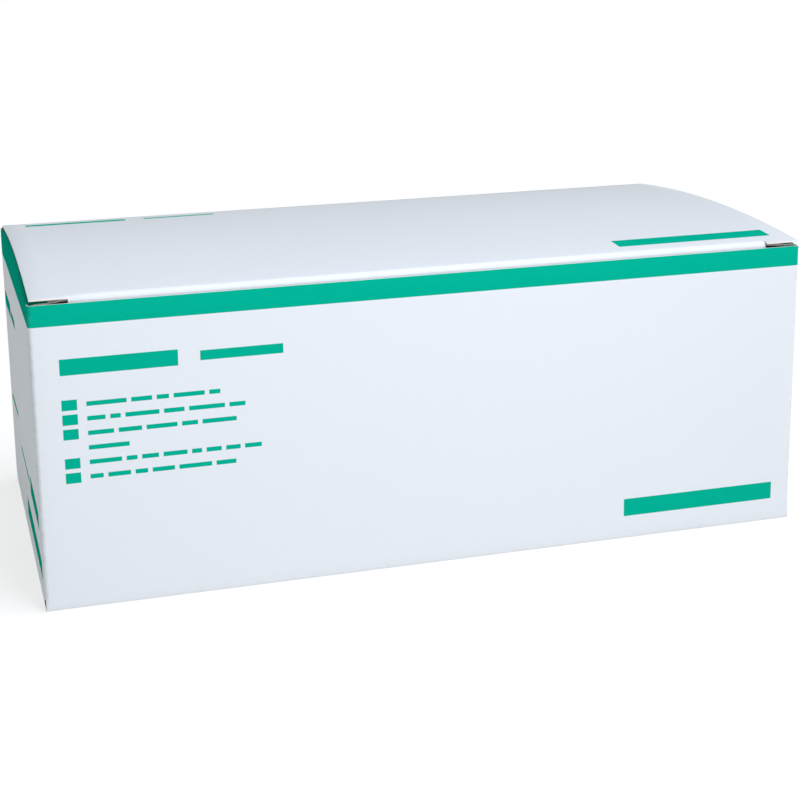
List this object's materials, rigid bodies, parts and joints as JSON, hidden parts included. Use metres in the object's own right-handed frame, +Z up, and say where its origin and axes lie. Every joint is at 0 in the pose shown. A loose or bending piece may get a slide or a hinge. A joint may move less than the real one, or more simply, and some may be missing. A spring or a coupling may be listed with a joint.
{
  "type": "folding carton with tuck-in lid",
  "caption": "Long white folding carton with a green top band; its arched lid hinges on the back edge and tucks in behind the front panel.",
  "frame": {"origin": "on the floor, under the middle of the carton", "axes": "+X along the carton's length, front panel facing -Y, +Z up"},
  "size_m": [0.27, 0.134, 0.1076],
  "materials": {
    "white_board": "satin",
    "green_ink": "satin"
  },
  "bodies": {
    "carton_body": {"carton_body": "white_board"},
    "lid": {"lid": "white_board"}
  },
  "joints": [
    {"name": "lid_hinge", "type": "hinge", "parent": "carton_body", "child": "lid", "pos_m": [0, 0.067, 0.1025], "axis": [-1, 0, 0], "range_deg": [0, 180]}
  ]
}
